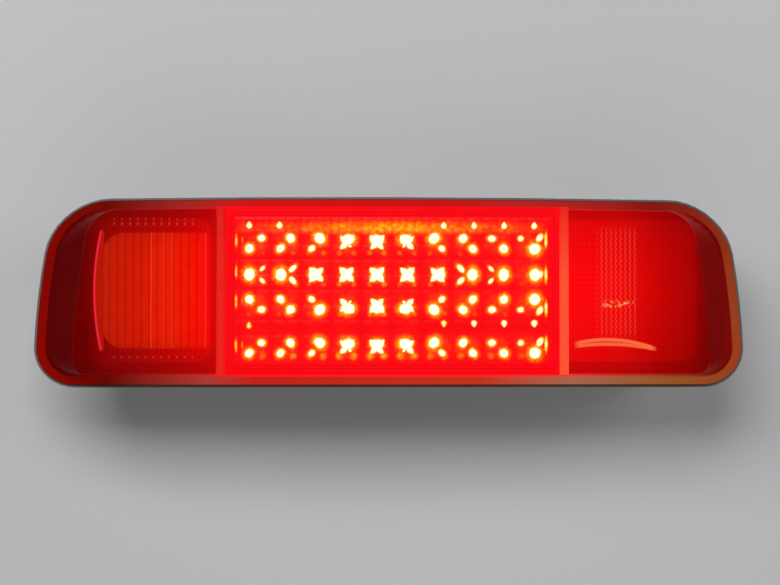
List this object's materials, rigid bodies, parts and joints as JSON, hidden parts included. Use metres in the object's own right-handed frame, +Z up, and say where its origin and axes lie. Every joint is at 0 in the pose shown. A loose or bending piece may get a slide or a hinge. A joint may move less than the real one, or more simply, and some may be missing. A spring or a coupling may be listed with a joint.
{
  "type": "three-chamber vehicle brake lamp",
  "caption": "Wide trapezoid vehicle brake lamp: red lens, lit diode panel in the middle, fluted window at one end, reflex reflector at the other, twist-out bulb holders behind.",
  "frame": {"origin": "centre of the mounting face, the back of the foam pad that lies against the vehicle", "axes": "+Y points out of the back towards the vehicle, so the lens faces -Y; +X is to the right seen from the front; +Z is up"},
  "size_m": [0.3132, 0.0813, 0.084],
  "materials": {
    "black_plastic": "moulded black housing plastic, lightly grained",
    "foam": "closed-cell foam pad",
    "rubber": "soft black sealing rubber",
    "red_lens": "clear red moulded lens, polished outside",
    "window_red": "lighter red fluted window, polished outside",
    "reflex_red": "red prismatic reflex cells",
    "strip_red": "pale red joint strip, satin",
    "white_plastic": "white light-catching plastic",
    "metallised": "vacuum-metallised bowl",
    "board": "green solder mask on glass-fibre board",
    "diode_light": "clear domed diodes, lit",
    "chip": "moulded black electronic parts",
    "zinc_steel": "zinc-plated steel",
    "tinned": "tinned brass blades",
    "grey_plastic": "heat-resistant grey plastic",
    "bulb_glass": "clear bulb glass"
  },
  "bodies": {
    "lamp": {"rear_housing": "black_plastic", "connector_inlet": "black_plastic", "mounting_pad": "foam", "lens_seal": "rubber", "vent_cap": "rubber", "outer_lens": "red_lens", "centre_lens": "red_lens", "fluted_window": "window_red", "reflex_border": "reflex_red", "reflex_reflector": "reflex_red", "divider_strip_left": "strip_red", "divider_strip_right": "strip_red", "led_frame": "white_plastic", "partition_left": "white_plastic", "partition_right": "white_plastic", "reflector_left": "metallised", "reflector_right": "metallised", "circuit_board": "board", "led_row_1": "diode_light", "led_row_2": "diode_light", "led_row_3": "diode_light", "led_row_4": "diode_light", "ballast_resistor_1": "chip", "ballast_resistor_2": "chip", "ballast_resistor_3": "chip", "ballast_resistor_4": "chip", "ballast_resistor_5": "chip", "ballast_resistor_6": "chip", "ballast_resistor_7": "chip", "ballast_resistor_8": "chip", "ballast_resistor_9": "chip", "ballast_resistor_10": "chip", "polarity_diode": "chip", "board_screw_1": "zinc_steel", "board_screw_2": "zinc_steel", "board_screw_3": "zinc_steel", "board_screw_4": "zinc_steel", "mounting_stud_1": "zinc_steel", "mounting_stud_2": "zinc_steel", "mounting_stud_3": "zinc_steel", "mounting_stud_4": "zinc_steel", "terminal_blade_1": "tinned", "terminal_blade_2": "tinned", "terminal_blade_3": "tinned"},
    "left_bulb_holder": {"bulb_holder_left": "grey_plastic", "holder_seal_left": "rubber", "bulb_left": "bulb_glass"},
    "right_bulb_holder": {"bulb_holder_right": "grey_plastic", "holder_seal_right": "rubber", "bulb_right": "bulb_glass"}
  },
  "joints": [
    {"name": "left_holder_turn", "type": "hinge", "parent": "lamp", "child": "left_bulb_holder", "pos_m": [-0.10364, 0, 0], "axis": [0, 1, 0], "range_deg": [0, 45]},
    {"name": "right_holder_turn", "type": "hinge", "parent": "lamp", "child": "right_bulb_holder", "pos_m": [0.10364, 0, 0], "axis": [0, 1, 0], "range_deg": [0, 45]}
  ]
}
